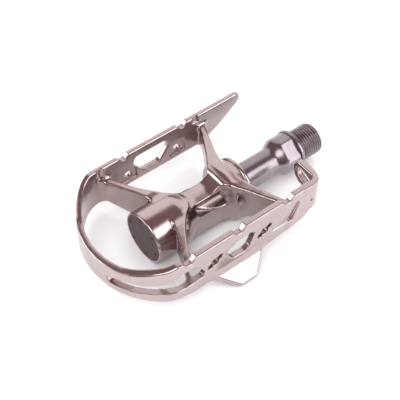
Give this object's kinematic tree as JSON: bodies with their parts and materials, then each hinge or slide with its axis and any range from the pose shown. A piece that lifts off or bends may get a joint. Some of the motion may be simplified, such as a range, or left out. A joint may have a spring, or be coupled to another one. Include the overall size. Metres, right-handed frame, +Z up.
{
  "type": "quill pedal",
  "caption": "Left-hand bicycle quill pedal: one-piece alloy cage with an X-shaped body and barrel, turning on a threaded steel spindle with loose ball bearings.",
  "frame": {"origin": "on the spindle axis at the shoulder that meets the crank arm", "axes": "+X forwards, towards the toe-clip plate; +Y outboard along the spindle, away from the crank; +Z up, on the tread side"},
  "size_m": [0.0696, 0.1185, 0.0277],
  "materials": {
    "polished_alloy": "polished cast alloy with a warm sheen",
    "axle_steel": "plated, bright, cut thread",
    "bearing_steel": "ground",
    "ball_steel": "mirror",
    "seal_rubber": "matt",
    "cap_plastic": "dark brown, satin"
  },
  "bodies": {
    "spindle": {"spindle": "axle_steel", "outer_cone": "bearing_steel", "key_washer": "bearing_steel", "lock_nut": "bearing_steel"},
    "pedal": {"pedal_body": "polished_alloy", "inner_cup": "bearing_steel", "outer_cup": "bearing_steel", "inner_seal": "seal_rubber", "dust_cap": "cap_plastic"},
    "inner_balls": {"inner_ball_01": "ball_steel", "inner_ball_02": "ball_steel", "inner_ball_03": "ball_steel", "inner_ball_04": "ball_steel", "inner_ball_05": "ball_steel", "inner_ball_06": "ball_steel", "inner_ball_07": "ball_steel", "inner_ball_08": "ball_steel", "inner_ball_09": "ball_steel", "inner_ball_10": "ball_steel", "inner_ball_11": "ball_steel"},
    "outer_balls": {"outer_ball_01": "ball_steel", "outer_ball_02": "ball_steel", "outer_ball_03": "ball_steel", "outer_ball_04": "ball_steel", "outer_ball_05": "ball_steel", "outer_ball_06": "ball_steel", "outer_ball_07": "ball_steel", "outer_ball_08": "ball_steel", "outer_ball_09": "ball_steel", "outer_ball_10": "ball_steel", "outer_ball_11": "ball_steel"}
  },
  "joints": [
    {"name": "pedal_spin", "type": "hinge", "parent": "spindle", "child": "pedal", "pos_m": [0, 0.05, 0], "axis": [0, 1, 0], "continuous": true},
    {"name": "inner_row_orbit", "type": "hinge", "parent": "spindle", "child": "inner_balls", "pos_m": [0, 0.05, 0], "axis": [0, 1, 0], "continuous": true},
    {"name": "outer_row_orbit", "type": "hinge", "parent": "spindle", "child": "outer_balls", "pos_m": [0, 0.05, 0], "axis": [0, 1, 0], "continuous": true}
  ],
  "couplings": [
    {"joint": "inner_row_orbit", "follows": "pedal_spin", "ratio": 0.5981},
    {"joint": "outer_row_orbit", "follows": "pedal_spin", "ratio": 0.5981}
  ]
}
